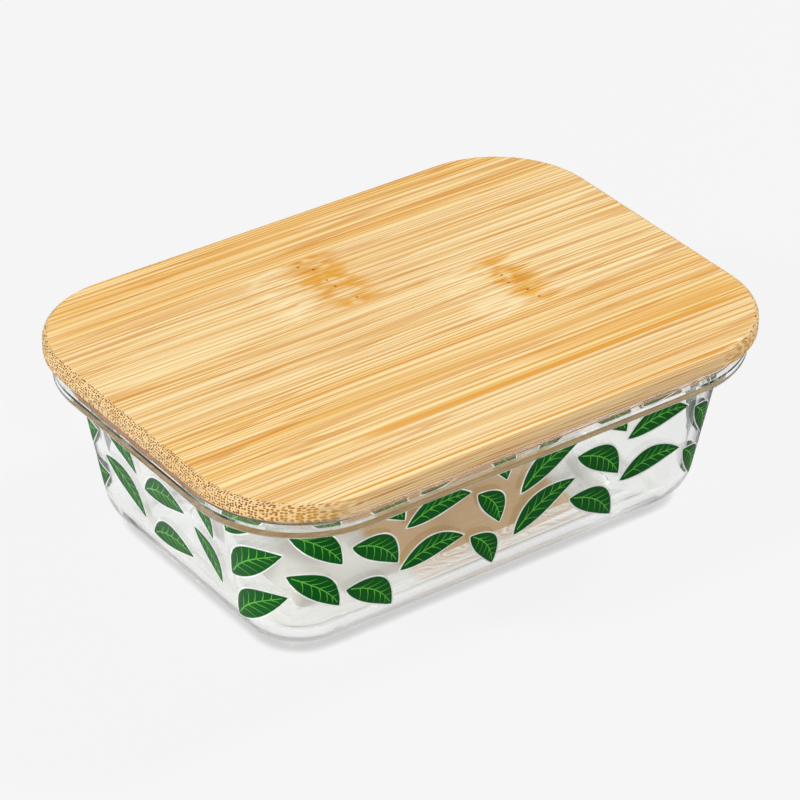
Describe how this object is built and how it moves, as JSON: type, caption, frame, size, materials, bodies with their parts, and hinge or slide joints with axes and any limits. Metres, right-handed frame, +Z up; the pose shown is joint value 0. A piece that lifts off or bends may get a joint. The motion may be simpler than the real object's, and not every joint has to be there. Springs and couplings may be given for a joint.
{
  "type": "food storage container",
  "caption": "Rectangular glass food storage dish with leaning walls and a stepped rim collar, closed by a lift-off bamboo lid with a plug and a silicone sealing ring.",
  "frame": {"origin": "middle of the underside of the glass dish, at the height of the table", "axes": "+X along the long side, +Y along the short side, +Z up out of the opening"},
  "size_m": [0.21, 0.1508, 0.0715],
  "materials": {
    "clear_glass": "clear polished",
    "silicone": "translucent satin",
    "bamboo_board": "oiled satin",
    "bamboo_plug": "oiled satin"
  },
  "bodies": {
    "dish": {"glass_dish": "clear_glass"},
    "lid": {"board_stave_1": "bamboo_board", "board_stave_2": "bamboo_board", "board_stave_3": "bamboo_board", "board_stave_4": "bamboo_board", "board_stave_5": "bamboo_board", "plug_stave_1": "bamboo_plug", "plug_stave_2": "bamboo_plug", "plug_stave_3": "bamboo_plug", "plug_stave_4": "bamboo_plug", "seal_ring": "silicone"}
  },
  "joints": [
    {"name": "lid_lift", "type": "slide", "parent": "dish", "child": "lid", "axis": [0, 0, 1], "range_m": [0, 0.06]}
  ]
}
